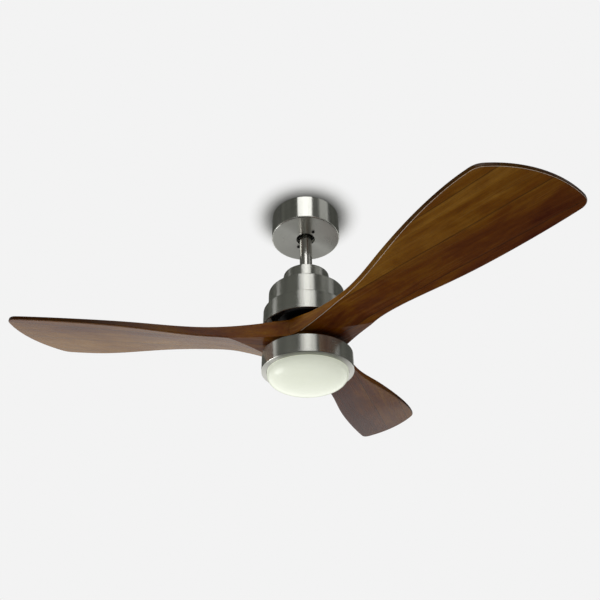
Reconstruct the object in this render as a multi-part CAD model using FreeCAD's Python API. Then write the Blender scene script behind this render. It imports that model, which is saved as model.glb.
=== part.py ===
import FreeCAD, Part
import math
import os

# Ceiling fan with a round light: a drum canopy on the ceiling, a short downrod, a stepped motor
# housing, three carved wooden blades and a light pan with an opal dome under them.
# Millimetres. The origin is on the fan's axis at the ceiling surface, +Z up, the fan hangs down.
# +Y points away from the side the fan is first seen from, so +X is to its right.

V = FreeCAD.Vector
Z_AXIS = V(0, 0, 1)
X_AXIS = V(1, 0, 0)
Y_AXIS = V(0, 1, 0)

# ---- driving dimensions ----
canopy_r = 77.0            # drum canopy, outside
canopy_depth = 60.0
canopy_wall = 1.2
canopy_hole_r = 21.2       # the rod swings in this hole
canopy_screw_pcr = 31.0    # radius of the circle the canopy screws sit on
canopy_screw_turn = 125.6  # angle of the first canopy screw, in degrees from +X

slot_spacing = 90.0        # ceiling screw slots, centre to centre
slot_width = 6.0
slot_length = 16.0

ball_z = -34.0             # centre of the ball joint
ball_r = 26.0
ball_gap = 0.3

rod_r = 13.8               # three-quarter inch tube with its plating
rod_bore_r = 11.5
rod_top_z = -16.0
rod_bottom_z = -201.0
pin_r = 3.0

coupler_r = 20.0           # collar that joins the rod to the motor
coupler_top_z = -175.0
coupler_pin_z = -187.0
set_screw_z = -194.0
flange_r = 43.0
flange_thick = 5.0
coupler_screw_pcr = 33.0

cover_r = 49.3             # smallest tier, over the rod coupler
cover_top_z = -166.8
upper_r = 80.2             # middle tier, motor housing
upper_top_z = -214.1
lower_r = 90.0             # widest tier, motor housing
lower_top_z = -260.9
lower_bottom_z = -300.9
sheet = 1.5                # wall of the spun housings

shaft_r = 8.5
shaft_bore_r = 5.0
race_r = 20.0              # outside of the ball bearings
bearing_width = 12.0
bearing_pitch_r = 14.25
bearing_ball_r = 3.3
balls_per_bearing = 8
bearing_zs = (-232.5, -279.5)

rotor_r = 68.0             # turning case of the motor
rotor_inner_r = 64.0
rotor_flange_r = 75.0
rotor_screw_pcr = 71.6
rotor_top_z = -222.5
rotor_split_z = -248.0
rotor_bottom_z = -288.0
magnet_count = 12
tooth_count = 12
core_top_z = -243.0
core_height = 28.0

board = 35.6               # thickness of a blade at its root
root_z = -345.8            # underside of the blade roots
hub_corner_r = 68.4        # where two blades meet at the outer end of their seam
seam_half_angle = 59.85    # a hair under 60 degrees leaves a fine seam between the roots
blade_bore_r = 22.0
blade_hole_r = 2.6         # screw holes through the roots
blade_turns = (182.9, 302.9, 62.9)
neck_x = 170.0             # the crease reaches the trailing edge here, at the narrowest place
crease_reach = 98.0        # how far the flat root reaches across the blade at the hub corner
trailing_lift = 1.0        # height of the carved underside along the trailing edge
root_pitch = 0.20          # slope across the blade near the root
tip_pitch = 0.13           # slope across the blade near the tip
blade_thick = 8.0          # outboard thickness
blade_end_x = 520.0        # where the carved thickness settles
tip_trailing_x = 541.0     # ends of the slanting tip, measured along the blade
tip_leading_x = 500.0
tip_bulge = 21.0           # how far the tip's arc stands out from the line between its ends
tip_trailing_round = 16.0
tip_leading_round = 28.0
edge_ease = 2.0            # sanded rounding of the blades' long edges

carrier_r = 64.0
carrier_thick = 4.0
carrier_gap = 0.5          # pad of felt between the wood and the carrier, left as a gap
neck_r = 45.0
clamp_r = 54.0
clamp_thick = 3.0

pan_r = 90.0               # light pan
pan_top_z = -358.3
pan_bottom_z = -395.7
bezel_z = -397.4
bezel_inner_r = 80.2
pan_wall = 1.5
dome_r = 79.3
dome_wall = 2.6
dome_base_z = -397.5
dome_depth = 32.0
dome_power = 2.5           # roundness of the dome's section, 2 would be an ellipse
dome_top_z = -377.0
hook_z = -385.0            # top of the tray's bayonet hooks
hook_half_angle = 10.0
skirt_r = 72.0
tray_top_z = -379.0
led_driver_top_z = -363.5
wire_end_z = -375.0
screw_r = 2.0


def tube(outer_r, inner_r, top_z, bottom_z):
    """A straight ring or disc about the fan's axis."""
    height = top_z - bottom_z
    body = Part.makeCylinder(outer_r, height, V(0, 0, bottom_z))
    if inner_r > 0:
        body = body.cut(Part.makeCylinder(inner_r, height + 2, V(0, 0, bottom_z - 1)))
    return body


def spin(points):
    """Turn a closed outline of (radius, height) points about the fan's axis."""
    corners = [V(r, 0, z) for r, z in points]
    outline = Part.makePolygon(corners + corners[:1])
    return Part.Face(outline).revolve(V(0, 0, 0), Z_AXIS, 360)


def turned(shape, degrees):
    """A copy of a shape, turned about the fan's axis."""
    copy = shape.copy()
    copy.rotate(V(0, 0, 0), Z_AXIS, degrees)
    return copy


def around(shape, count, start=0.0):
    """Equal copies of a shape all round the fan's axis."""
    return [turned(shape, start + 360.0 * i / count) for i in range(count)]


def block(x0, x1, y0, y1, z0, z1):
    return Part.makeBox(x1 - x0, y1 - y0, z1 - z0, V(x0, y0, z0))


def rounded_rims(shape, radius, heights, least_r):
    """Round the full circles of a turned part that lie at the given heights."""
    rims = []
    for edge in shape.Edges:
        box = edge.BoundBox
        flat = box.ZLength < 0.01
        wide = box.XLength / 2 > least_r
        if flat and wide and any(abs(box.ZMin - z) < 0.01 for z in heights):
            rims.append(edge)
    return shape.makeFillet(radius, rims)


def save(name, shapes):
    """Write one node. Several separate solids may share a node."""
    if isinstance(shapes, list):
        shape = Part.makeCompound(shapes)
    else:
        shape = shapes
    shape.exportStep("parts/" + name + ".step")


# ---- on the ceiling ----

def hanger_bracket():
    """Pressed steel: slotted ceiling plate, two legs, and the cradle that the ball sits in."""
    plate_thick = 2.5
    leg_x = 30.0
    leg_half = 15.0
    cradle_z = -40.0
    cradle_thick = 3.0
    cradle_r = 41.0
    bowl_bottom_z = -50.0
    bowl_r = ball_r + 3.0
    plate = block(-58, 58, -22, 22, -plate_thick, 0)
    corners = [e for e in plate.Edges if abs(e.BoundBox.ZLength - plate_thick) < 0.01]
    plate = plate.makeFillet(8.0, corners)
    for side in (-1, 1):
        reach = (slot_length - slot_width) / 2
        slot = block(side * slot_spacing / 2 - reach, side * slot_spacing / 2 + reach,
                     -slot_width / 2, slot_width / 2, -10, 10)
        for end in (-1, 1):
            centre = V(side * slot_spacing / 2 + end * reach, 0, -10)
            slot = slot.fuse(Part.makeCylinder(slot_width / 2, 20, centre))
        plate = plate.cut(slot)
    plate = plate.cut(Part.makeCylinder(16, 20, V(0, 0, -10)))
    legs = [block(leg_x, leg_x + plate_thick, -leg_half, leg_half, cradle_z, 0),
            block(-leg_x - plate_thick, -leg_x, -leg_half, leg_half, cradle_z, 0)]
    cradle = tube(cradle_r, 0, cradle_z, cradle_z - cradle_thick)
    bowl = Part.makeSphere(bowl_r, V(0, 0, ball_z))
    bowl = bowl.common(tube(bowl_r + 1, 0, cradle_z, bowl_bottom_z))
    bracket = plate.fuse(legs + [cradle, bowl])
    bracket = bracket.cut(Part.makeSphere(ball_r + ball_gap, V(0, 0, ball_z)))
    for turn in (canopy_screw_turn, canopy_screw_turn + 180):
        hole = Part.makeCylinder(screw_r, 20, V(canopy_screw_pcr, 0, cradle_z - 10))
        bracket = bracket.cut(turned(hole, turn))
    return bracket.removeSplitter()


def canopy():
    """Spun steel drum, open against the ceiling, with a flat floor that the rod passes through."""
    body = tube(canopy_r, 0, 0, -canopy_depth)
    body = rounded_rims(body, 2.5, [-canopy_depth], 60)
    inside = tube(canopy_r - canopy_wall, 0, 1, canopy_wall - canopy_depth)
    inside = rounded_rims(inside, 1.5, [canopy_wall - canopy_depth], 60)
    body = body.cut(inside)
    body = body.cut(tube(canopy_hole_r, 0, 0, -canopy_depth - 5))
    for turn in (canopy_screw_turn, canopy_screw_turn + 180):
        hole = Part.makeCylinder(screw_r + 0.3, 10, V(canopy_screw_pcr, 0, -canopy_depth - 5))
        body = body.cut(turned(hole, turn))
    return body


def canopy_screws():
    """Two pan-head screws up through the canopy's floor into the cradle."""
    head_r = 3.6
    head_high = 2.2
    centre = V(canopy_screw_pcr, 0, -canopy_depth - head_high)
    screw = Part.makeCylinder(head_r, head_high, centre)
    screw = screw.makeFillet(1.2, [e for e in screw.Edges if abs(e.BoundBox.ZMax - centre.z) < 0.01])
    screw = screw.fuse(Part.makeCylinder(screw_r - 0.05, 28, centre))
    drive = Part.makeBox(4.4, 0.9, 1.2, V(canopy_screw_pcr - 2.2, -0.45, centre.z - 0.1))
    cross = drive.copy()
    cross.rotate(V(canopy_screw_pcr, 0, 0), Z_AXIS, 90)
    screw = screw.cut(drive.fuse(cross))
    return around(screw, 2, canopy_screw_turn)


def remote_receiver():
    """Control box beside the bracket, with a rounded plastic case."""
    case = block(-36, 36, 30, 54, -32, -6)
    return case.makeFillet(2.5, case.Edges)


def terminal_block():
    """Three-way mains terminal strip on the bracket's other side."""
    strip = block(-20, 20, -44, -30, -20, -6)
    for x in (-12, 0, 12):
        strip = strip.cut(Part.makeCylinder(2.2, 30, V(x, -37, -30)))
        strip = strip.cut(Part.makeCylinder(2.8, 20, V(x, -50, -13), Y_AXIS))
    return strip


# ---- ball joint and rod ----

def hanger_ball():
    """Moulded ball with flat top and bottom, a wide throat and the cross hole for the pin."""
    throat_r = 16.2
    ball = Part.makeSphere(ball_r, V(0, 0, ball_z))
    ball = ball.common(tube(ball_r + 1, 0, ball_z + 13, ball_z - 15.5))
    ball = ball.cut(tube(throat_r, 0, 0, -60))
    return ball.cut(Part.makeCylinder(pin_r + 0.05, 60, V(0, -30, ball_z), Y_AXIS))


def downrod():
    """Steel tube with cross holes for the ball pin at the top and the coupler pin at the bottom."""
    rod = tube(rod_r, rod_bore_r, rod_top_z, rod_bottom_z)
    rod = rod.cut(Part.makeCylinder(pin_r, 60, V(0, -30, ball_z), Y_AXIS))
    rod = rod.cut(Part.makeCylinder(pin_r, 60, V(-30, 0, coupler_pin_z), X_AXIS))
    return rod


def hanger_pin():
    return Part.makeCylinder(pin_r, 42, V(0, -21, ball_z), Y_AXIS)


def rod_coupler():
    """Cast collar that joins the rod to the motor, with its round flange on the housing."""
    flange_top = upper_top_z + flange_thick
    body = tube(coupler_r, 0, coupler_top_z, upper_top_z)
    body = body.fuse(tube(flange_r, 0, flange_top, upper_top_z))
    body = body.cut(tube(rod_r + 0.05, 0, coupler_top_z + 1, rod_bottom_z))
    body = body.cut(tube(shaft_r, 0, rod_bottom_z + 1, upper_top_z - 1))
    body = body.cut(Part.makeCylinder(pin_r, 80, V(-40, 0, coupler_pin_z), X_AXIS))
    body = body.cut(Part.makeCylinder(2.5, 80, V(0, -40, set_screw_z), Y_AXIS))
    for hole in around(Part.makeCylinder(screw_r, 20, V(coupler_screw_pcr, 0, flange_top - 10)), 4, 45):
        body = body.cut(hole)
    return body.removeSplitter()


def coupler_pin():
    """Clevis pin with a flat head, drilled at its far end for the clip."""
    pin = Part.makeCylinder(pin_r, 52, V(-25, 0, coupler_pin_z), X_AXIS)
    pin = pin.fuse(Part.makeCylinder(5, 2.5, V(-27.5, 0, coupler_pin_z), X_AXIS))
    return pin.cut(Part.makeCylinder(1.0, 12, V(23.5, 0, coupler_pin_z - 6)))


def coupler_clip():
    """Spring wire clip: one straight leg through the pin and one leg round the outside of it."""
    wire_r = 0.8
    bend_r = 3.0
    x = 23.5
    low_z = coupler_pin_z - 9
    high_z = coupler_pin_z + 9
    straight = Part.makeCylinder(wire_r, high_z - low_z, V(x, 0, low_z))
    bend = Part.makeTorus(bend_r, wire_r, V(x, bend_r, high_z), X_AXIS)
    bend = bend.common(block(x - 5, x + 5, -10, 20, high_z, high_z + 10))
    outer = Part.makeCylinder(wire_r, 14, V(x, 2 * bend_r, high_z - 14))
    return straight.fuse([bend, outer]).removeSplitter()


def set_screws():
    """Two headless screws that lock the coupler on the rod."""
    screws = []
    for side in (-1, 1):
        start = V(0, side * (rod_r + 0.1), set_screw_z)
        screw = Part.makeCylinder(2.45, 7.5, start, V(0, side, 0))
        socket = Part.makeCylinder(1.2, 3, V(0, side * (rod_r + 5.2), set_screw_z), V(0, side, 0))
        screws.append(screw.cut(socket))
    return screws


def coupler_screws():
    """Four screws down through the flange into the housing's top."""
    top = upper_top_z + flange_thick
    screw = Part.makeCylinder(4, 2.6, V(coupler_screw_pcr, 0, top))
    screw = screw.fuse(Part.makeCylinder(screw_r - 0.05, flange_thick + 3.5,
                                         V(coupler_screw_pcr, 0, top - flange_thick - 3.5)))
    return around(screw, 4, 45)


# ---- housings ----

def cup(outer_r, top_z, bottom_z, hole_r, edge_r):
    """A spun cup, open below, with a rounded top rim and a hole in its top."""
    body = tube(outer_r, 0, top_z, bottom_z)
    body = rounded_rims(body, edge_r, [top_z], outer_r / 2)
    inside = tube(outer_r - sheet, 0, top_z - sheet, bottom_z - 1)
    inside = rounded_rims(inside, max(edge_r - sheet, 0.5), [top_z - sheet], outer_r / 2)
    body = body.cut(inside)
    return body.cut(tube(hole_r, 0, top_z + 1, top_z - sheet - 1))


def coupler_cover():
    """Smallest tier: a cup that slides down the rod over the coupler."""
    return cup(cover_r, cover_top_z, upper_top_z, rod_r + 0.3, 2.5)


def upper_housing():
    """Middle tier, bolted under the coupler's flange."""
    body = cup(upper_r, upper_top_z, lower_top_z, shaft_r + 0.4, 2.0)
    for hole in around(Part.makeCylinder(screw_r, 20, V(coupler_screw_pcr, 0, upper_top_z - 10)), 4, 45):
        body = body.cut(hole)
    return body


def lower_housing():
    """Widest tier: a ring with a collar pressed up inside the middle tier and a rolled lower lip."""
    collar_r = upper_r - sheet
    collar_top = lower_top_z + 6
    lip_r = lower_r + 0.6
    lip_high = 2.4
    body = cup(lower_r, lower_top_z, lower_bottom_z, collar_r - 1.5, 2.0)
    body = body.fuse(tube(collar_r - 0.02, collar_r - 1.5, collar_top, lower_top_z - sheet))
    lip = tube(lip_r, lower_r - sheet, lower_bottom_z + lip_high, lower_bottom_z)
    return body.fuse(lip).removeSplitter()


# ---- motor ----

def motor_shaft():
    """Hollow fixed shaft from the coupler down to the light pan, threaded at its foot."""
    shaft = tube(shaft_r, shaft_bore_r, rod_bottom_z - 0.5, pan_top_z - 14)
    stop = tube(shaft_r + 3.5, shaft_r - 0.5, pan_top_z + 4, pan_top_z)
    return shaft.fuse(stop).removeSplitter()


def race(outer_r, inner_r, centre_z):
    """One bearing ring with the ball groove turned in it."""
    half = bearing_width / 2
    ring = tube(outer_r, inner_r, centre_z + half, centre_z - half)
    groove = Part.makeTorus(bearing_pitch_r, bearing_ball_r + 0.12, V(0, 0, centre_z), Z_AXIS)
    return ring.cut(groove)


def bearing_inner_races():
    return [race(bearing_pitch_r - 2.3, shaft_r, z) for z in bearing_zs]


def bearing_outer_races():
    return [race(race_r, bearing_pitch_r + 2.3, z) for z in bearing_zs]


def bearing_balls():
    balls = []
    for z in bearing_zs:
        ball = Part.makeSphere(bearing_ball_r, V(bearing_pitch_r, 0, z))
        balls += around(ball, balls_per_bearing)
    return balls


def bearing_cages():
    """Thin rings with a round window for each ball."""
    cages = []
    for z in bearing_zs:
        cage = tube(bearing_pitch_r + 0.9, bearing_pitch_r - 0.9, z + 4.4, z - 4.4)
        window = Part.makeCylinder(bearing_ball_r + 0.12, 10, V(bearing_pitch_r - 5, 0, z), X_AXIS)
        for hole in around(window, balls_per_bearing):
            cage = cage.cut(hole)
        cages.append(cage)
    return cages


def stator_core():
    """Laminated core on the shaft: hub, teeth and their curved shoes."""
    hub_r = 32.0
    tooth_end_r = 53.5
    shoe_r = 57.5
    tooth_half = 3.5
    bottom = core_top_z - core_height
    core = tube(hub_r, shaft_r, core_top_z, bottom)
    tooth = block(hub_r - 1, tooth_end_r + 1, -tooth_half, tooth_half, bottom, core_top_z)
    shoe = tube(shoe_r, tooth_end_r, core_top_z, bottom)
    shoe = shoe.common(Part.makeCylinder(shoe_r + 5, core_height, V(0, 0, bottom), Z_AXIS, 24))
    shoe = turned(shoe, -12)
    return core.fuse(around(tooth.fuse(shoe), tooth_count)).removeSplitter()


def stator_windings():
    """One copper coil round each tooth."""
    bottom = core_top_z - core_height
    coil = block(34, 52.5, -6.8, 6.8, bottom - 4, core_top_z + 4)
    coil = coil.makeFillet(3.0, [e for e in coil.Edges if e.BoundBox.XLength > 15])
    coil = coil.cut(block(30, 60, -3.6, 3.6, bottom - 0.1, core_top_z + 0.1))
    coil = coil.common(turned(Part.makeCylinder(53.4, 60, V(0, 0, bottom - 10), Z_AXIS, 29), -14.5))
    return around(coil, tooth_count)


def magnets():
    """Curved magnets on the inside of the rotor."""
    step = 360.0 / magnet_count
    ring = tube(rotor_inner_r, rotor_inner_r - 5.5, core_top_z + 1, core_top_z - core_height - 1)
    wedge = Part.makeCylinder(70, core_height + 4, V(0, 0, core_top_z - core_height - 2), Z_AXIS, step - 3)
    magnet = ring.common(wedge)
    return around(magnet, magnet_count)


def rotor_top():
    """Upper half of the motor's turning case, with the upper bearing's seat."""
    bearing_z = bearing_zs[0]
    half = bearing_width / 2
    body = spin([(12, rotor_top_z), (rotor_r - 6, rotor_top_z), (rotor_r, rotor_top_z - 6),
                 (rotor_r, rotor_split_z + 3), (rotor_flange_r, rotor_split_z + 3),
                 (rotor_flange_r, rotor_split_z), (rotor_inner_r, rotor_split_z),
                 (rotor_inner_r, rotor_top_z - 4), (24, rotor_top_z - 4), (24, bearing_z - half - 1),
                 (race_r, bearing_z - half - 1), (race_r, bearing_z + half), (12, bearing_z + half)])
    return drilled_rotor(body)


def rotor_bottom():
    """Lower half of the case, with the lower bearing's seat and the neck down to the blades."""
    bearing_z = bearing_zs[1]
    half = bearing_width / 2
    carrier_top = root_z + board + carrier_gap + carrier_thick
    body = spin([(rotor_inner_r, rotor_split_z), (rotor_flange_r, rotor_split_z),
                 (rotor_flange_r, rotor_split_z - 3), (rotor_r, rotor_split_z - 3),
                 (rotor_r, rotor_bottom_z + 8), (rotor_r - 6, rotor_bottom_z),
                 (neck_r, rotor_bottom_z), (neck_r, carrier_top), (24, carrier_top),
                 (24, bearing_z - half - 4), (12, bearing_z - half - 4), (12, bearing_z - half),
                 (race_r, bearing_z - half), (race_r, bearing_z + half), (24, bearing_z + half),
                 (24, rotor_bottom_z + 4), (rotor_inner_r, rotor_bottom_z + 4)])
    return drilled_rotor(body)


def drilled_rotor(body):
    """The six flange holes of a half case."""
    for hole in around(Part.makeCylinder(1.8, 20, V(rotor_screw_pcr, 0, rotor_split_z - 10)), 6):
        body = body.cut(hole)
    return body


def rotor_screws():
    """Six screws through the flanges of the rotor's two halves."""
    screw = Part.makeCylinder(2.9, 2, V(rotor_screw_pcr, 0, rotor_split_z - 5))
    screw = screw.fuse(Part.makeCylinder(1.75, 8, V(rotor_screw_pcr, 0, rotor_split_z - 4.5)))
    return around(screw, 6)


# ---- blades ----

def edge_line(points):
    """A smooth edge through a few points, with its own parameter equal to x."""
    line = Part.BSplineCurve()
    line.interpolate([V(x, u, 0) for x, u in points], Parameters=[float(x) for x, u in points])
    return line


def hub_corner(side):
    """Outer end of the seam between two blade roots."""
    angle = math.radians(seam_half_angle)
    return hub_corner_r * math.cos(angle), side * hub_corner_r * math.sin(angle)


trailing_line = edge_line([hub_corner(1), (120, 52.8), (200, 58.6), (322, 91.0), (430, 112.8),
                           (tip_trailing_x, 124.5)])
leading_line = edge_line([hub_corner(-1), (115, -36.0), (185, -27.3), (322, -39.5),
                          (tip_leading_x, -40.0)])


def eased_step(x, start, end):
    """Goes smoothly from 0 at start to 1 at end."""
    t = min(max((x - start) / (end - start), 0.0), 1.0)
    return t * t * (3 - 2 * t)


def trailing_u(x):
    """Distance from the blade's axis to its low, trailing edge."""
    return trailing_line.value(min(max(x, hub_corner(1)[0]), tip_trailing_x)).y


def pitch(x):
    """Slope across the blade."""
    return root_pitch - (root_pitch - tip_pitch) * eased_step(x, 200.0, 440.0)


def underside(x, u):
    """Height of the carved underside. It meets the flat root along a slanting crease."""
    along = min((x - hub_corner_r) / (neck_x - hub_corner_r), 1.0)
    crease_u = trailing_u(x) - crease_reach * (1.0 - along) ** 1.5
    return trailing_lift + pitch(x) * (crease_u - u)


def topside(x, u):
    """Height of the upper face: level at the root, parallel to the underside further out."""
    left = min(max((blade_end_x - x) / (blade_end_x - 50.0), 0.0), 1.0)
    trailing_top = trailing_lift + blade_thick + (board - trailing_lift - blade_thick) * left ** 2
    return trailing_top + pitch(x) * eased_step(x, 80.0, 300.0) * (trailing_u(x) - u)


def carved(height, depth):
    """Everything above (depth > 0) or below (depth < 0) a carved face."""
    grid = []
    for i in range(25):
        x = -20.0 + 25.0 * i
        grid.append([V(x, u, height(x, u)) for u in (-160.0, 0.0, 160.0)])
    face = Part.BSplineSurface()
    face.interpolate(grid)
    return face.toShape().extrude(V(0, 0, depth))


def blade_plan():
    """Outline seen from above: a third of the hub, a waist, and a wide slanting tip."""
    angle = math.radians(seam_half_angle)
    bore_low = V(blade_bore_r * math.cos(angle), -blade_bore_r * math.sin(angle), 0)
    bore_high = V(bore_low.x, -bore_low.y, 0)
    corner_low = V(*hub_corner(-1), 0)
    corner_high = V(*hub_corner(1), 0)
    tip_low = leading_line.value(tip_leading_x)
    tip_high = trailing_line.value(tip_trailing_x)
    across = tip_high - tip_low
    outward = V(across.y, -across.x, 0).normalize()
    tip_middle = (tip_low + tip_high) * 0.5 + outward * tip_bulge
    edges = [Part.Arc(bore_high, V(blade_bore_r, 0, 0), bore_low).toShape(),
             Part.makeLine(bore_low, corner_low),
             leading_line.toShape(),
             Part.Arc(tip_low, tip_middle, tip_high).toShape(),
             trailing_line.toShape(),
             Part.makeLine(corner_high, bore_high)]
    return Part.Face(Part.Wire(Part.__sortEdges__(edges)))


def upright_near(shape, x, u):
    """The vertical edge that stands at a place in the plan."""
    for edge in shape.Edges:
        box = edge.BoundBox
        if box.XLength + box.YLength < 0.01 and abs(box.XMin - x) + abs(box.YMin - u) < 0.1:
            return edge
    return None


def blade(degrees):
    """One carved wooden blade: flat thick root, pitched thin plate, eased edges."""
    body = blade_plan().extrude(V(0, 0, 70))
    tip_low = leading_line.value(tip_leading_x)
    tip_high = trailing_line.value(tip_trailing_x)
    body = body.makeFillet(tip_leading_round, [upright_near(body, tip_low.x, tip_low.y)])
    body = body.makeFillet(tip_trailing_round, [upright_near(body, tip_high.x, tip_high.y)])
    body = body.cut(carved(underside, -80))
    body = body.cut(carved(topside, 80))
    body = eased(body)
    for hole in blade_screw_places(Part.makeCylinder(blade_hole_r, 80, V(0, 0, -10))):
        body = body.cut(hole)
    body = turned(body, degrees)
    body.translate(V(0, 0, root_z))
    return body


def eased(body):
    """Sand the long outer edges round. The root's seam edges and the crease stay sharp."""
    rims = []
    for edge in body.Edges:
        box = edge.BoundBox
        if box.ZLength > 0.5 and edge.Length > 20 and box.XMax > neck_x:
            rims.append(edge)
    return body.makeFillet(edge_ease, rims)


def blade_screw_places(shape):
    """Copies of a screw or hole at the three screw places of one blade."""
    copies = []
    for radius, degrees in ((32.0, 0.0), (47.0, -26.0), (47.0, 26.0)):
        copy = shape.copy()
        copy.translate(V(radius, 0, 0))
        copies.append(turned(copy, degrees))
    return copies


def all_screw_places(shape):
    """Copies of a screw or hole at every blade's screw places."""
    copies = []
    for degrees in blade_turns:
        copies += [turned(copy, degrees) for copy in blade_screw_places(shape)]
    return copies


def blade_carrier():
    """Black steel plate on the rotor's neck that the blade roots hang under."""
    top = root_z + board + carrier_gap + carrier_thick
    plate = tube(carrier_r, blade_bore_r, top, top - carrier_thick)
    for hole in all_screw_places(Part.makeCylinder(blade_hole_r, 20, V(0, 0, top - 12))):
        plate = plate.cut(hole)
    return plate


def clamp_plate():
    """Black plate under the roots, which spreads the screws' pull over the wood."""
    plate = tube(clamp_r, blade_bore_r - 4, root_z, root_z - clamp_thick)
    for hole in all_screw_places(Part.makeCylinder(blade_hole_r, 20, V(0, 0, root_z - 10))):
        plate = plate.cut(hole)
    return plate


def blade_screws():
    """Button-head screws up through clamp plate, wood and carrier."""
    under = root_z - clamp_thick
    head = Part.makeCylinder(4.6, 2.8, V(0, 0, under - 2.8))
    head = head.makeFillet(1.6, [e for e in head.Edges if abs(e.BoundBox.ZMax - under + 2.8) < 0.01])
    head = head.cut(Part.makeCylinder(1.5, 1.4, V(0, 0, under - 2.9)))
    shank_long = clamp_thick + board + carrier_gap + carrier_thick
    shank = Part.makeCylinder(blade_hole_r - 0.1, shank_long, V(0, 0, under))
    return all_screw_places(head.fuse(shank))


# ---- light ----

def light_pan():
    """Nickel-plated ring with a closed top and an inward bezel round the dome."""
    inner = pan_r - pan_wall
    bezel_top = pan_bottom_z + 2.6
    body = spin([(shaft_r + 0.1, pan_top_z), (pan_r - 2, pan_top_z), (pan_r - 0.6, pan_top_z - 0.6),
                 (pan_r, pan_top_z - 2), (pan_r, pan_bottom_z + 0.6), (pan_r - 0.8, pan_bottom_z),
                 (bezel_inner_r, bezel_z), (bezel_inner_r, bezel_top), (inner, bezel_top),
                 (inner, pan_top_z - pan_wall), (shaft_r + 0.1, pan_top_z - pan_wall)])
    return body


def shaft_nut():
    """Hexagon nut and its washer, which hold the pan on the shaft."""
    washer_z = pan_top_z - pan_wall
    nut_z = washer_z - 1.5
    corners = [V(15 * math.cos(math.radians(60 * i)), 15 * math.sin(math.radians(60 * i)), nut_z - 7)
               for i in range(7)]
    nut = Part.Face(Part.makePolygon(corners)).extrude(V(0, 0, 7))
    nut = nut.cut(tube(shaft_r, 0, nut_z + 1, nut_z - 8))
    return [tube(17, shaft_r + 0.1, washer_z, nut_z), nut]


def led_driver():
    """Round potted power supply above the tray."""
    case = tube(56, 20, led_driver_top_z, led_driver_top_z - 14)
    return rounded_rims(case, 2.0, [led_driver_top_z - 14], 50)


def tray_posts():
    """Three spacers that carry the tray under the pan."""
    post = Part.makeCylinder(4, pan_top_z - pan_wall - tray_top_z, V(64, 0, tray_top_z))
    return around(post, 3, 30)


def led_tray():
    """Aluminium tray behind the lights. Its three outward hooks hold the dome."""
    body = tube(skirt_r, 0, tray_top_z, tray_top_z - 2)
    body = body.fuse(tube(skirt_r, skirt_r - sheet, tray_top_z, hook_z - 2))
    hook = tube(dome_r - dome_wall - 0.6, skirt_r - sheet, hook_z, hook_z - 2)
    wedge = Part.makeCylinder(90, 10, V(0, 0, hook_z - 5), Z_AXIS, 2 * hook_half_angle)
    hook = turned(hook.common(wedge), -hook_half_angle)
    return body.fuse(around(hook, 3)).removeSplitter()


def led_board():
    """White circuit board screwed under the tray."""
    return tube(69, 8, tray_top_z - 2, tray_top_z - 3.6)


def led_chips():
    """Rings of small light-emitting chips on the board."""
    chips = []
    for radius, count in ((22.0, 6), (43.0, 12), (61.0, 18)):
        chip = block(radius - 2.5, radius + 2.5, -2.5, 2.5, tray_top_z - 4.6, tray_top_z - 3.6)
        chips += around(chip, count)
    return chips


def dome_section(reach, depth):
    """Points of a rounded bowl's section from its rim to its lowest point."""
    steps = 24
    points = []
    for i in range(steps + 1):
        angle = math.pi / 2 * i / steps
        r = reach * math.cos(angle) ** (2 / dome_power)
        z = dome_base_z - depth * math.sin(angle) ** (2 / dome_power)
        points.append(V(r, 0, z))
    points[-1] = V(0, 0, dome_base_z - depth)
    return points


def bowl(reach, depth, top_z):
    """Solid of the bowl with a straight collar above it."""
    curve = Part.BSplineCurve()
    curve.interpolate(dome_section(reach, depth))
    low = V(0, 0, dome_base_z - depth)
    outline = [curve.toShape(), Part.makeLine(low, V(0, 0, top_z)),
               Part.makeLine(V(0, 0, top_z), V(reach, 0, top_z)),
               Part.makeLine(V(reach, 0, top_z), V(reach, 0, dome_base_z))]
    return Part.Face(Part.Wire(outline)).revolve(V(0, 0, 0), Z_AXIS, 360)


def opal_dome():
    """Moulded opal bowl with a straight collar and three inward lugs above the tray's hooks."""
    lug_inner_r = skirt_r + 0.9
    body = bowl(dome_r, dome_depth, dome_top_z)
    body = body.cut(bowl(dome_r - dome_wall, dome_depth - dome_wall, dome_top_z + 1))
    lug = tube(dome_r - 0.5, lug_inner_r, hook_z + 3, hook_z + 0.4)
    wedge = Part.makeCylinder(90, 10, V(0, 0, hook_z - 2), Z_AXIS, 2 * hook_half_angle)
    lug = turned(lug.common(wedge), -hook_half_angle)
    return body.fuse(around(lug, 3)).removeSplitter()


# ---- wiring ----

def wire_plug():
    """Small quick connector in the top of the rod."""
    plug = tube(10.5, 0, -11, -26)
    return rounded_rims(plug, 1.0, [-11, -26], 5)


def lead_wires():
    """Four insulated wires down the rod, past both pins, and through the shaft to the light."""
    rod_side = 7.8
    shaft_side = 3.6
    bend_top = -191.0
    bend_bottom = -200.0
    middle = V((rod_side + shaft_side) / 2, 0, (bend_top + bend_bottom) / 2)
    swing = math.atan((rod_side - shaft_side) / (bend_top - bend_bottom))
    bend_r = (bend_top - bend_bottom) / 2 / math.sin(2 * swing)
    sag = bend_r * (1 - math.cos(swing))
    drop = bend_r * math.sin(swing)
    upper = Part.Arc(V(rod_side, 0, bend_top), V(rod_side - sag, 0, bend_top - drop), middle)
    lower = Part.Arc(middle, V(shaft_side + sag, 0, bend_bottom + drop), V(shaft_side, 0, bend_bottom))
    route = Part.Wire([Part.makeLine(V(rod_side, 0, -26), V(rod_side, 0, bend_top)),
                       upper.toShape(), lower.toShape(),
                       Part.makeLine(V(shaft_side, 0, bend_bottom), V(shaft_side, 0, wire_end_z))])
    outline = Part.Wire(Part.makeCircle(1.2, V(rod_side, 0, -26), Z_AXIS))
    wire = route.makePipeShell([outline], True, True)
    return around(wire, 4, 45)


os.makedirs("parts", exist_ok=True)

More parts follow.
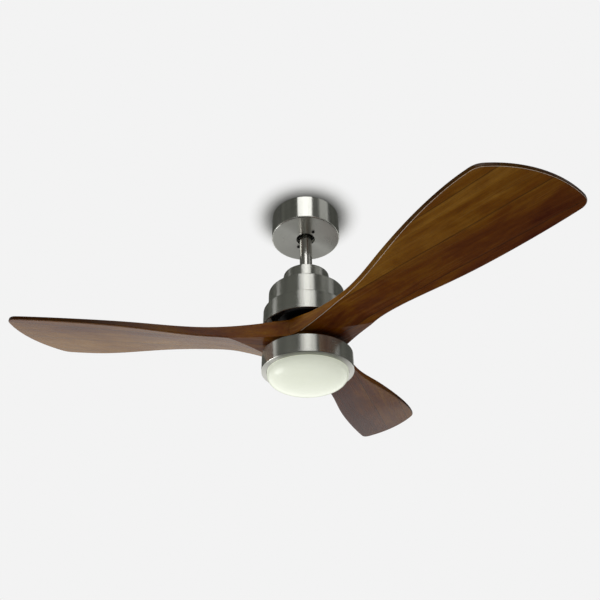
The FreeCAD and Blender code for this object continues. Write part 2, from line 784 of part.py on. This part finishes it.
save("hanger_bracket", hanger_bracket())
save("canopy", canopy())
save("canopy_screws", canopy_screws())
save("remote_receiver", remote_receiver())
save("terminal_block", terminal_block())
save("hanger_ball", hanger_ball())
save("downrod", downrod())
save("hanger_pin", hanger_pin())
save("rod_coupler", rod_coupler())
save("coupler_pin", coupler_pin())
save("coupler_clip", coupler_clip())
save("set_screws", set_screws())
save("coupler_screws", coupler_screws())
save("coupler_cover", coupler_cover())
save("upper_housing", upper_housing())
save("lower_housing", lower_housing())
save("motor_shaft", motor_shaft())
save("bearing_inner_races", bearing_inner_races())
save("bearing_outer_races", bearing_outer_races())
save("bearing_balls", bearing_balls())
save("bearing_cages", bearing_cages())
save("stator_core", stator_core())
save("stator_windings", stator_windings())
save("magnets", magnets())
save("rotor_top", rotor_top())
save("rotor_bottom", rotor_bottom())
save("rotor_screws", rotor_screws())
save("blade_carrier", blade_carrier())
for number, degrees in enumerate(blade_turns, 1):
    save("blade_" + str(number), blade(degrees))
save("clamp_plate", clamp_plate())
save("blade_screws", blade_screws())
save("light_pan", light_pan())
save("shaft_nut", shaft_nut())
save("led_driver", led_driver())
save("tray_posts", tray_posts())
save("led_tray", led_tray())
save("led_board", led_board())
save("led_chips", led_chips())
save("opal_dome", opal_dome())
save("wire_plug", wire_plug())
save("lead_wires", lead_wires())
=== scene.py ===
import math

import bpy
from mathutils import Matrix, Vector

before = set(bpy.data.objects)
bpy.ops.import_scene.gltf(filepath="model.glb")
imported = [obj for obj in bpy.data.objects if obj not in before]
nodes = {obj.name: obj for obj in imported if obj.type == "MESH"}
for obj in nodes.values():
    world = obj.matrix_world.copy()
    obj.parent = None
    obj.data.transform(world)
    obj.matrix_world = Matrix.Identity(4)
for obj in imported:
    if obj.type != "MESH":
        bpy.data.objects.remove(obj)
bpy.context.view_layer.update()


# ---- ceiling bracket ----
# The pressed steel bracket that carries the whole fan. Zinc-plated sheet, dull, with the faint
# cloudy patches that plating leaves. Two screws through its slots hold it to the ceiling box.

def new_finish(name, metallic, roughness):
    """An empty finish with its node tree and its surface shader."""
    finish = bpy.data.materials.new(name)
    finish.use_nodes = True
    shader = finish.node_tree.nodes["Principled BSDF"]
    shader.inputs["Metallic"].default_value = metallic
    shader.inputs["Roughness"].default_value = roughness
    return finish, finish.node_tree, shader


def add(tree, kind, settings=None, **values):
    """A node with its options and its input values set. Input names use _ for a space."""
    node = tree.nodes.new("ShaderNode" + kind)
    for option, value in (settings or {}).items():
        setattr(node, option, value)
    for name, value in values.items():
        node.inputs[name.replace("_", " ")].default_value = value
    return node


def stretched(tree, scale=(1.0, 1.0, 1.0), turn=0.0):
    """The piece's own coordinates, turned about the fan's axis and then stretched."""
    place = add(tree, "TexCoord")
    turned = add(tree, "Mapping", Rotation=(0.0, 0.0, -turn))
    sized = add(tree, "Mapping", Scale=scale)
    tree.links.new(place.outputs["Object"], turned.inputs["Vector"])
    tree.links.new(turned.outputs["Vector"], sized.inputs["Vector"])
    return sized.outputs["Vector"]


def noise(tree, vector, scale, detail=3.0, rough=0.55, distortion=0.0):
    """Cloudy pattern from 0 to 1."""
    node = add(tree, "TexNoise", Scale=scale, Detail=detail, Roughness=rough, Distortion=distortion)
    tree.links.new(vector, node.inputs["Vector"])
    return node.outputs["Fac"]


def between(tree, factor, low, high, low_at=0.3, high_at=0.7):
    """A number that runs from low to high as the factor does, and stops at both."""
    node = add(tree, "MapRange", From_Min=low_at, From_Max=high_at, To_Min=low, To_Max=high)
    tree.links.new(factor, node.inputs["Value"])
    return node.outputs["Result"]


def shades(tree, factor, *stops):
    """Colours along a factor, each stop a place and a red, green, blue."""
    node = add(tree, "ValToRGB")
    ramp = node.color_ramp
    while len(ramp.elements) < len(stops):
        ramp.elements.new(0.5)
    for element, (place, colour) in zip(ramp.elements, stops):
        element.position = place
        element.color = (*colour, 1.0)
    tree.links.new(factor, node.inputs["Fac"])
    return node.outputs["Color"]


def raise_surface(tree, shader, height, strength, distance):
    """Bump from a height pattern, with distance in metres."""
    bump = add(tree, "Bump", Strength=strength, Distance=distance)
    tree.links.new(height, bump.inputs["Height"])
    tree.links.new(bump.outputs["Normal"], shader.inputs["Normal"])


def dress(names, finish):
    """Give every slot of the named pieces one finish."""
    for name in names:
        for slot in nodes[name].material_slots:
            slot.material = finish


def clouded(name, low, high, metallic, rough_low, rough_high, scale, grit=0.0):
    """A finish with soft patches of two shades, the same patches in its roughness, and fine grit."""
    finish, tree, shader = new_finish(name, metallic, rough_low)
    clouds = noise(tree, stretched(tree), scale, 5.0)
    tree.links.new(shades(tree, clouds, (0.35, low), (0.65, high)), shader.inputs["Base Color"])
    tree.links.new(between(tree, clouds, rough_low, rough_high), shader.inputs["Roughness"])
    if grit:
        raise_surface(tree, shader, noise(tree, stretched(tree), scale * 12.0, 2.0), grit, 0.0002)
    return finish


zinc = clouded("zinc_plate", (0.50, 0.50, 0.47), (0.66, 0.66, 0.62), 1.0, 0.32, 0.5, 90.0, 0.15)
dress(["hanger_bracket"], zinc)


# ---- receiver and terminals ----
# Control box on one side of the bracket and the mains terminal strip on the other. Moulded
# white plastic with the fine texture of the mould.

white_plastic = clouded("white_plastic", (0.74, 0.74, 0.71), (0.82, 0.82, 0.79), 0.0, 0.42, 0.55, 140.0, 0.3)
dress(["remote_receiver", "terminal_block"], white_plastic)


# ---- hanger ball and its pin ----
# Black nylon ball that rests in the bracket's cradle, and the bright steel pin that carries
# the rod in it. The moulding is slightly orange-peeled.

black_nylon = clouded("black_nylon", (0.012, 0.012, 0.012), (0.030, 0.030, 0.030), 0.0, 0.38, 0.5, 160.0, 0.3)
dress(["hanger_ball"], black_nylon)
bright_steel = clouded("bright_steel", (0.52, 0.52, 0.52), (0.66, 0.66, 0.66), 1.0, 0.2, 0.34, 220.0, 0.1)
dress(["hanger_pin"], bright_steel)


# ---- nickel shells ----
# Canopy, the three tiers of the motor cover and the light pan. Spun steel, nickel-plated and
# brushed on the lathe, so the brush lines run round the fan's axis on walls and floors alike,
# and a light draws out into a band across them.

def maths(tree, operation, *values):
    """One sum. Each value is a number or the output of another node."""
    node = add(tree, "Math", {"operation": operation})
    for slot, value in zip(node.inputs, values):
        if isinstance(value, float):
            slot.default_value = value
        else:
            tree.links.new(value, slot)
    return node.outputs[0]


def weighed(tree, *parts):
    """Several patterns added up, each times its weight."""
    total = 0.0
    for pattern, weight in parts:
        total = maths(tree, "MULTIPLY_ADD", pattern, weight, total)
    return total


def facing_up(tree):
    """How far the surface faces up, from -1 to 1."""
    place = add(tree, "TexCoord")
    split = add(tree, "SeparateXYZ")
    tree.links.new(place.outputs["Normal"], split.inputs["Vector"])
    return split.outputs["Z"]


def lathe_place(tree, ring_scale, round_scale):
    """Coordinates of a turned surface: close rings one way, long the other way."""
    place = add(tree, "TexCoord")
    flat = add(tree, "VectorMath", {"operation": "MULTIPLY"})
    flat.inputs[1].default_value = (1.0, 1.0, 0.0)
    reach = add(tree, "VectorMath", {"operation": "LENGTH"})
    split = add(tree, "SeparateXYZ")
    joined = add(tree, "CombineXYZ")
    tree.links.new(place.outputs["Object"], flat.inputs[0])
    tree.links.new(flat.outputs["Vector"], reach.inputs[0])
    tree.links.new(place.outputs["Object"], split.inputs["Vector"])
    angle = maths(tree, "ARCTAN2", split.outputs["Y"], split.outputs["X"])
    tree.links.new(maths(tree, "MULTIPLY", reach.outputs["Value"], ring_scale), joined.inputs["X"])
    tree.links.new(maths(tree, "MULTIPLY", angle, round_scale), joined.inputs["Y"])
    tree.links.new(maths(tree, "MULTIPLY", split.outputs["Z"], ring_scale), joined.inputs["Z"])
    return joined.outputs["Vector"]


def brushed_nickel(name, low, high, rough_low, rough_high, stretch, floor_rough=0.0):
    """Plated metal with brush lines round the fan's axis. Level faces can be brushed coarser."""
    finish, tree, shader = new_finish(name, 1.0, rough_low)
    lines = noise(tree, lathe_place(tree, 1500.0, 2.2), 1.0, 3.0, 0.7)
    bands = noise(tree, lathe_place(tree, 240.0, 1.2), 1.0, 2.0)
    clouds = noise(tree, stretched(tree), 22.0, 4.0)
    mixed = weighed(tree, (lines, 0.22), (bands, 0.30), (clouds, 0.48))
    tree.links.new(shades(tree, mixed, (0.35, low), (0.65, high)), shader.inputs["Base Color"])
    level = between(tree, maths(tree, "ABSOLUTE", facing_up(tree)), 0.0, floor_rough, 0.7, 0.9)
    rough = maths(tree, "ADD", between(tree, mixed, rough_low, rough_high), level)
    tree.links.new(rough, shader.inputs["Roughness"])
    shader.inputs["Anisotropic"].default_value = stretch
    shader.inputs["Anisotropic Rotation"].default_value = 0.25
    tangent = add(tree, "Tangent", {"direction_type": "RADIAL", "axis": "Z"})
    tree.links.new(tangent.outputs["Tangent"], shader.inputs["Tangent"])
    raise_surface(tree, shader, lines, 0.008, 0.0001)
    return finish


dress(["canopy"],
      brushed_nickel("bright_nickel", (0.56, 0.56, 0.52), (0.62, 0.62, 0.58), 0.18, 0.23, 0.85, 0.08))
dress(["coupler_cover", "upper_housing", "lower_housing", "light_pan"],
      brushed_nickel("brushed_nickel", (0.56, 0.56, 0.52), (0.62, 0.615, 0.575), 0.23, 0.28, 0.85, 0.08))


# ---- canopy screws ----
# Two pan-head screws up through the canopy's floor into the cradle. Blackened steel, dark and
# slightly glossy.

black_oxide = clouded("black_oxide", (0.012, 0.012, 0.012), (0.035, 0.034, 0.032), 0.6, 0.3, 0.45, 300.0, 0.1)
dress(["canopy_screws"], black_oxide)


# ---- downrod ----
# Plated steel tube, pinned in the ball above and in the coupler below. It is polished closer
# than the shells, so it shows sharper stripes.

rod_nickel = brushed_nickel("rod_nickel", (0.60, 0.59, 0.55), (0.70, 0.69, 0.65), 0.13, 0.19, 0.8)
dress(["downrod"], rod_nickel)


# ---- wiring ----
# Four leads in black insulation down the rod, past both pins, and through the shaft to the
# light, from a small white quick connector in the top of the rod.

dress(["lead_wires"], clouded("wire_sleeve", (0.02, 0.02, 0.022), (0.04, 0.04, 0.044), 0.0, 0.4, 0.5, 200.0))
dress(["wire_plug"], white_plastic)


# ---- rod coupler ----
# Cast collar, painted grey, that joins the rod to the motor. A clevis pin with its clip and two
# headless screws hold the rod in it, and four screws through its flange hold it to the housing.

cast_grey = clouded("cast_grey", (0.09, 0.09, 0.09), (0.15, 0.15, 0.15), 0.0, 0.45, 0.65, 260.0, 0.5)
dress(["rod_coupler"], cast_grey)
dress(["coupler_pin", "coupler_clip", "set_screws", "coupler_screws"], bright_steel)


# ---- motor ----
# Stator: a stack of thin steel sheets with a copper coil round each tooth, on a steel shaft.
# Rotor: two black painted castings screwed together, with ferrite magnets inside, on two ball
# bearings with brass cages.

def laminated(name):
    """Edges of stacked sheets: level lines up the stack."""
    finish, tree, shader = new_finish(name, 1.0, 0.45)
    sheets = noise(tree, stretched(tree, (0.5, 0.5, 1500.0)), 1.0, 1.0)
    tree.links.new(shades(tree, sheets, (0.3, (0.16, 0.16, 0.17)), (0.7, (0.38, 0.38, 0.40))),
                   shader.inputs["Base Color"])
    raise_surface(tree, shader, sheets, 0.5, 0.0002)
    return finish


def wound_copper(name):
    """Enamelled wire laid side by side round each tooth."""
    finish, tree, shader = new_finish(name, 1.0, 0.28)
    wires = noise(tree, lathe_place(tree, 900.0, 1.0), 1.0, 1.0)
    tree.links.new(shades(tree, wires, (0.35, (0.36, 0.11, 0.03)), (0.65, (0.80, 0.36, 0.14))),
                   shader.inputs["Base Color"])
    raise_surface(tree, shader, wires, 0.8, 0.0004)
    return finish


dress(["stator_core"], laminated("core_sheets"))
dress(["stator_windings"], wound_copper("copper_wire"))
dress(["magnets"], clouded("ferrite", (0.05, 0.05, 0.055), (0.10, 0.10, 0.105), 0.2, 0.5, 0.65, 200.0, 0.4))
dress(["bearing_inner_races", "bearing_outer_races", "bearing_balls"],
      clouded("ground_steel", (0.60, 0.60, 0.61), (0.70, 0.70, 0.71), 1.0, 0.08, 0.16, 300.0))
dress(["bearing_cages"],
      clouded("pressed_brass", (0.60, 0.42, 0.16), (0.75, 0.56, 0.26), 1.0, 0.22, 0.34, 200.0))
dress(["motor_shaft", "rotor_screws"], bright_steel)
black_coat = clouded("black_powder_coat", (0.004, 0.004, 0.005), (0.012, 0.012, 0.014), 0.0, 0.34, 0.5, 180.0,
                     0.35)
dress(["rotor_top", "rotor_bottom"], black_coat)


# ---- blade carrier ----
# Black powder-coated steel plate on the rotor's neck that the blade roots hang under, and the
# clamp plate under the roots. Blackened button-head screws go up through clamp plate, wood and
# carrier.

dress(["blade_carrier", "clamp_plate"], black_coat)
dress(["blade_screws"], black_oxide)


# ---- blades ----
# Solid walnut, glued up from boards side by side, carved, sanded and oiled to a satin sheen.
# The grain runs along each blade. Each board has its own tone and figure. Painted light and
# shade lie over the wood, with a painted highlight along each blade's lower edge.

def multiplied(tree, colour, other):
    """One colour times another colour or a number."""
    node = add(tree, "Mix", {"data_type": "RGBA", "blend_type": "MULTIPLY"}, Factor=1.0)
    tree.links.new(colour, node.inputs[6])
    tree.links.new(other, node.inputs[7])
    return node.outputs[2]


def walnut(name, turn, seed, painted_lighting, highlight_strength):
    """Oiled walnut boards laid a little across one blade pointing at turn from +X, with painted light and
    shade.
    """
    board_wide, joint_at, lay = 0.062, -0.0566, math.radians(11.3)
    spare_boards = 20.0
    slide_along, slide_down = 7.3, 3.1
    finish, tree, shader = new_finish(name, 0.0, 0.32)
    split = add(tree, "SeparateXYZ")
    tree.links.new(stretched(tree, turn=turn + lay), split.inputs["Vector"])

    # Which board, how far across it, and the chance that gives each board its shade and figure.
    across = maths(tree, "DIVIDE", split.outputs["Y"], board_wide)
    across = maths(tree, "ADD", across, spare_boards - joint_at / board_wide)
    within = maths(tree, "FRACT", across)
    chance = add(tree, "TexWhiteNoise", {"noise_dimensions": "1D"})
    tree.links.new(maths(tree, "ADD", maths(tree, "FLOOR", across), seed), chance.inputs["W"])
    luck = chance.outputs["Value"]
    slide = add(tree, "CombineXYZ")
    tree.links.new(maths(tree, "MULTIPLY", luck, slide_along), slide.inputs["X"])
    tree.links.new(maths(tree, "MULTIPLY", luck, slide_down), slide.inputs["Z"])

    def grain(scale, size, detail, distortion=0.0):
        moved = add(tree, "VectorMath", {"operation": "ADD"})
        tree.links.new(stretched(tree, scale, turn + lay), moved.inputs[0])
        tree.links.new(slide.outputs["Vector"], moved.inputs[1])
        return noise(tree, moved.outputs["Vector"], size, detail, 0.6, distortion)

    figure = grain((1.6, 11.0, 11.0), 1.6, 6.0, 1.8)
    streaks = grain((3.0, 130.0, 130.0), 1.0, 4.0)
    pores = grain((34.0, 900.0, 900.0), 1.0, 2.0)
    cloud = grain((11.0, 20.0, 20.0), 1.0, 5.0, 0.8)
    # Painted light and shade across the blade: paler towards the leading edge, darker towards the trailing
    # edge.
    across_shade = between(tree, split.outputs["Y"], 0.06, -0.20, -0.085, 0.0)
    tone = weighed(tree, (figure, 0.62), (streaks, 0.26), (cloud, 0.56), (luck, 0.08), (across_shade, 1.0))
    # The per-blade offset added here makes the whole blade paler or darker, as painted light and shade.
    wood = shades(tree, maths(tree, "ADD", tone, painted_lighting),
                  (0.44, (0.075, 0.0110, 0.0002)), (0.62, (0.135, 0.033, 0.0004)),
                  (0.78, (0.200, 0.070, 0.0010)), (0.98, (0.300, 0.130, 0.010)))

    # Glue lines and open pores are dark.
    glue = maths(tree, "MULTIPLY", between(tree, within, 0.42, 1.0, 0.0, 0.024),
                 between(tree, within, 1.0, 0.42, 0.976, 1.0))
    dark = maths(tree, "MULTIPLY", glue, between(tree, pores, 0.82, 1.0, 0.38, 0.52))

    # The lower edge is rounded over, and a painted highlight, a pale line, follows the rounding.
    up = facing_up(tree)
    arris_highlight = maths(tree, "MULTIPLY", between(tree, up, 0.0, 1.0, -0.88, -0.80),
                   between(tree, up, 1.0, 0.0, -0.76, -0.64))
    highlighted = add(tree, "Mix", {"data_type": "RGBA"})
    highlighted.inputs[7].default_value = (0.95, 0.85, 0.74, 1.0)
    tree.links.new(maths(tree, "MULTIPLY", arris_highlight, highlight_strength), highlighted.inputs["Factor"])
    tree.links.new(multiplied(tree, wood, dark), highlighted.inputs[6])

    # Painted light and shade on the sides and top: lighter near the hub, darker towards the tip.
    side_lighting = maths(tree, "MULTIPLY", between(tree, up, 0.0, 1.0, -0.55, -0.35),
                between(tree, split.outputs["X"], -0.6, 0.6, 0.12, 0.40))
    side_lit = multiplied(tree, highlighted.outputs[2], maths(tree, "SUBTRACT", 1.0, side_lighting))
    tree.links.new(side_lit, shader.inputs["Base Color"])
    tree.links.new(between(tree, streaks, 0.20, 0.30), shader.inputs["Roughness"])
    shader.inputs["Specular IOR Level"].default_value = 0.15
    shader.inputs["Coat Weight"].default_value = 0.1
    shader.inputs["Coat Roughness"].default_value = 0.2
    raise_surface(tree, shader, weighed(tree, (pores, 1.0), (streaks, 0.6)), 0.18, 0.0002)
    return finish


first_blade_turn = 182.9
# Per blade: a seed, a paler or darker offset that is painted light and shade, and the strength of its painted
# highlight.
for place, (seed, painted_lighting, highlight_strength) in enumerate(((3.0, 0.13, 0.25), (11.0, -0.01, 0.8), (7.0, -0.12, 0.1))):
    turn = math.radians(first_blade_turn + 120.0 * place)
    number = str(place + 1)
    dress(["blade_" + number], walnut("walnut_" + number, turn, seed, painted_lighting, highlight_strength))


# ---- light unit ----
# Spun aluminium tray with its white circuit board and yellow chips below and grey potted driver
# above, on three spacers inside the pan. A hexagon nut and its washer hold the pan on the shaft.

dress(["led_tray", "tray_posts"],
      clouded("spun_aluminium", (0.66, 0.66, 0.66), (0.78, 0.78, 0.78), 1.0, 0.3, 0.42, 120.0, 0.1))
dress(["led_board"],
      clouded("white_solder_mask", (0.78, 0.79, 0.76), (0.84, 0.85, 0.82), 0.0, 0.25, 0.34, 90.0))
dress(["led_chips"], clouded("phosphor", (0.72, 0.56, 0.12), (0.84, 0.70, 0.24), 0.0, 0.3, 0.4, 400.0))
dress(["led_driver"],
      clouded("grey_potting", (0.20, 0.20, 0.21), (0.28, 0.28, 0.29), 0.0, 0.4, 0.55, 120.0, 0.2))
dress(["shaft_nut"], bright_steel)


# ---- opal dome ----
# Moulded opal bowl with a satin-gloss skin, held by its bayonet. It glows a little with painted
# light, which stands in for the room's light passing through it, and is never perfectly even.

def opal(name):
    """Milky bowl with broad clouds, a fine skin and a faint painted glow."""
    finish, tree, shader = new_finish(name, 0.0, 0.2)
    clouds = noise(tree, stretched(tree), 14.0, 4.0)
    tree.links.new(shades(tree, clouds, (0.3, (0.80, 0.83, 0.71)), (0.7, (0.85, 0.87, 0.76))),
                   shader.inputs["Base Color"])
    tree.links.new(between(tree, clouds, 0.18, 0.26), shader.inputs["Roughness"])
    # Painted glow: the bowl is no lamp, and this emission stands in for light passing through it.
    shader.inputs["Emission Color"].default_value = (0.80, 0.84, 0.70, 1.0)
    shader.inputs["Emission Strength"].default_value = 0.40
    raise_surface(tree, shader, noise(tree, stretched(tree), 260.0, 2.0), 0.04, 0.0002)
    return finish


dress(["opal_dome"], opal("opal_glass"))


# ---- ceiling ----
# The painted ceiling that the fan hangs from, with a painted shadow round the canopy, darkened
# wherever the canopy is near. It shows from below only, and no light or mirror meets it.

def plane(name, half, height, facing):
    """A square sheet of the room, facing up or down."""
    corners = [(-half, -half, height), (half, -half, height), (half, half, height), (-half, half, height)]
    order = (0, 1, 2, 3) if facing > 0 else (3, 2, 1, 0)
    mesh = bpy.data.meshes.new(name)
    mesh.from_pydata(corners, [], [order])
    sheet = bpy.data.objects.new(name, mesh)
    bpy.context.scene.collection.objects.link(sheet)
    return sheet


def show_to_camera_only(sheet):
    """Hide a sheet from every ray but the camera's."""
    for ray in ("visible_diffuse", "visible_glossy", "visible_transmission", "visible_shadow"):
        setattr(sheet, ray, False)


room_white = (0.896, 0.896, 0.896)
room_half = 28.0
ceiling_gap = 0.0005
shadow_reach = 0.06
ceiling = plane("ceiling_sheet", room_half, ceiling_gap, -1)
show_to_camera_only(ceiling)
paint = bpy.data.materials.new("ceiling_paint")
paint.use_nodes = True
tree = paint.node_tree
tree.nodes.clear()
# Painted shadow: the ceiling's own glow turns dark where the canopy is within reach of it.
nearby = add(tree, "AmbientOcclusion", {"samples": 12}, Distance=shadow_reach)
painted_shadow = shades(tree, nearby.outputs["AO"], (0.48, (0.035, 0.035, 0.033)), (0.69, (0.25, 0.25, 0.24)),
              (0.86, (0.70, 0.70, 0.69)), (0.97, room_white))
glow = add(tree, "Emission", Strength=1.0)
clear = add(tree, "BsdfTransparent")
side = add(tree, "NewGeometry")
blend = add(tree, "MixShader")
out = add(tree, "OutputMaterial")
tree.links.new(painted_shadow, glow.inputs["Color"])
tree.links.new(side.outputs["Backfacing"], blend.inputs["Fac"])
tree.links.new(glow.outputs["Emission"], blend.inputs[1])
tree.links.new(clear.outputs["BSDF"], blend.inputs[2])
tree.links.new(blend.outputs["Shader"], out.inputs["Surface"])
ceiling.data.materials.append(paint)


# ---- floor ----
# A pale plain floor that shows when the fan is looked at from above, and a darker sheet just
# under it that only sends light back up, as a real floor does.

def floor_finish(name, low, high):
    """Matt finish with faint broad patches."""
    finish, tree, shader = new_finish(name, 0.0, 0.6)
    patches = noise(tree, stretched(tree), 3.0, 3.0)
    tree.links.new(shades(tree, patches, (0.3, low), (0.7, high)), shader.inputs["Base Color"])
    return finish, shader


floor_drop, bounce_drop, bounce_half = 2.40, 2.41, 9.0
floor = plane("floor_sheet", room_half, -floor_drop, 1)
show_to_camera_only(floor)
floor_paint, shader = floor_finish("floor_paint", (0.76, 0.76, 0.75), (0.79, 0.79, 0.78))
shader.inputs["Emission Color"].default_value = (1.0, 1.0, 0.98, 1.0)
shader.inputs["Emission Strength"].default_value = 0.62
floor.data.materials.append(floor_paint)

bounce = plane("floor_bounce", bounce_half, -bounce_drop, 1)
bounce.visible_camera = False
bounce.visible_glossy = False
bounce_paint, shader = floor_finish("floor_bounce_paint", (0.33, 0.33, 0.33), (0.36, 0.36, 0.36))
bounce.data.materials.append(bounce_paint)


# ---- air of the room ----
# What the metal mirrors between the lights: dark above, bright just below level on the far side,
# and dimmer with broad panels on the near side. The camera sees plain pale grey instead.

world = bpy.data.worlds.new("room_air")
bpy.context.scene.world = world
world.use_nodes = True
tree = world.node_tree
tree.nodes.clear()
direction = add(tree, "TexCoord")
split = add(tree, "SeparateXYZ")
tree.links.new(direction.outputs["Generated"], split.inputs["Vector"])
height = between(tree, split.outputs["Z"], 0.0, 1.0, -1.0, 1.0)
far_side = shades(tree, height, (0.125, (0.06, 0.06, 0.058)), (0.160, (0.36, 0.36, 0.35)),
                  (0.22, (0.52, 0.52, 0.51)), (0.29, (0.88, 0.88, 0.87)), (0.40, (1.20, 1.20, 1.17)),
                  (0.49, (1.45, 1.45, 1.40)), (0.545, (0.13, 0.132, 0.12)), (0.75, (0.085, 0.087, 0.078)))
near_side = shades(tree, height, (0.125, (0.06, 0.06, 0.058)), (0.19, (0.28, 0.28, 0.27)),
                   (0.40, (0.40, 0.40, 0.39)), (0.49, (0.44, 0.44, 0.43)), (0.545, (0.13, 0.132, 0.12)),
                   (0.75, (0.085, 0.087, 0.078)))
panels = shades(tree, noise(tree, direction.outputs["Generated"], 2.6, 1.0),
                (0.40, (0.30, 0.30, 0.30)), (0.58, (1.7, 1.7, 1.7)))
around = add(tree, "Mix", {"data_type": "RGBA"})
tree.links.new(between(tree, split.outputs["Y"], 0.0, 1.0, 0.10, 0.70), around.inputs["Factor"])
tree.links.new(multiplied(tree, near_side, panels), around.inputs[6])
tree.links.new(far_side, around.inputs[7])
lit = add(tree, "Background", Strength=1.0)
seen = add(tree, "Background", Color=(*room_white, 1.0), Strength=1.0)
ray = add(tree, "LightPath")
blend = add(tree, "MixShader")
out = add(tree, "OutputWorld")
tree.links.new(around.outputs[2], lit.inputs["Color"])
tree.links.new(ray.outputs["Is Camera Ray"], blend.inputs["Fac"])
tree.links.new(lit.outputs["Background"], blend.inputs[1])
tree.links.new(seen.outputs["Background"], blend.inputs[2])
tree.links.new(blend.outputs["Shader"], out.inputs["Surface"])


# ---- studio lights ----
# Soft boxes round the fan that draw the white bands on the nickel and model the blades, and a
# wide weak fill under and over it that the metal doesn't mirror.

def softbox(name, azimuth, elevation, distance, wide, high, radiance, mirrored=True):
    """A flat light that faces the fan. Azimuth is from +X, and radiance is how bright it looks."""
    az, el = math.radians(azimuth), math.radians(elevation)
    aim = Vector((0.0, 0.0, -0.2))
    away = Vector((math.cos(az) * math.cos(el), math.sin(az) * math.cos(el), math.sin(el)))
    light = bpy.data.lights.new(name, "AREA")
    light.shape = "RECTANGLE"
    light.size = wide
    light.size_y = high
    light.energy = radiance * math.pi * wide * high
    lamp = bpy.data.objects.new(name, light)
    lamp.location = aim + away * distance
    lamp.rotation_euler = away.to_track_quat("Z", "Y").to_euler()
    lamp.visible_glossy = mirrored
    bpy.context.scene.collection.objects.link(lamp)


softbox("front_high", -89.0, 50.0, 2.4, 1.42, 0.95, 1.9)
softbox("front_low", -84.0, 27.0, 2.4, 1.45, 0.85, 0.80)
softbox("front_core", -87.0, 29.0, 2.35, 0.55, 0.95, 0.55)
softbox("right_near", -50.0, 50.0, 2.4, 0.9, 0.7, 0.10)
softbox("right_far", -21.0, 50.0, 2.4, 1.0, 0.8, 0.45)
softbox("right_low", -10.0, 30.0, 2.4, 0.6, 0.8, 0.40)
softbox("left_far", 184.0, 22.0, 2.4, 0.5, 0.9, 0.70)
softbox("left_low", 166.0, -41.0, 2.3, 1.1, 0.8, 4.0)
softbox("back_high", 88.0, 30.0, 2.4, 1.6, 1.0, 0.6)
softbox("under_fill", 0.0, -90.0, 2.0, 3.2, 3.2, 0.62, mirrored=False)
softbox("over_fill", 0.0, 90.0, 2.2, 3.2, 3.2, 0.75, mirrored=False)


# ---- camera ----
# Looks up at the fan from below and in front, through a 31 mm lens on 36 mm wide film. It is
# tilted a trace, and the picture isn't graded.

camera_data = bpy.data.cameras.new("camera")
camera_data.sensor_width = 36.0
camera_data.lens = 31.2
camera_data.clip_end = 60.0
camera = bpy.data.objects.new("camera", camera_data)
bpy.context.scene.collection.objects.link(camera)
stand = (0.03561, -0.91652, -0.83482)
pitch, roll, yaw = math.radians(33.570), math.radians(-0.433), math.radians(-3.097)
ahead = Vector((math.sin(yaw) * math.cos(pitch), math.cos(yaw) * math.cos(pitch), math.sin(pitch)))
level = Vector((math.cos(yaw), -math.sin(yaw), 0.0))
upward = level.cross(ahead)
right = level * math.cos(roll) + upward * math.sin(roll)
top = upward * math.cos(roll) - level * math.sin(roll)
camera.matrix_world = Matrix.Translation(stand) @ Matrix((right, top, -ahead)).transposed().to_4x4()
bpy.context.scene.camera = camera
bpy.context.scene.view_settings.view_transform = "Standard"
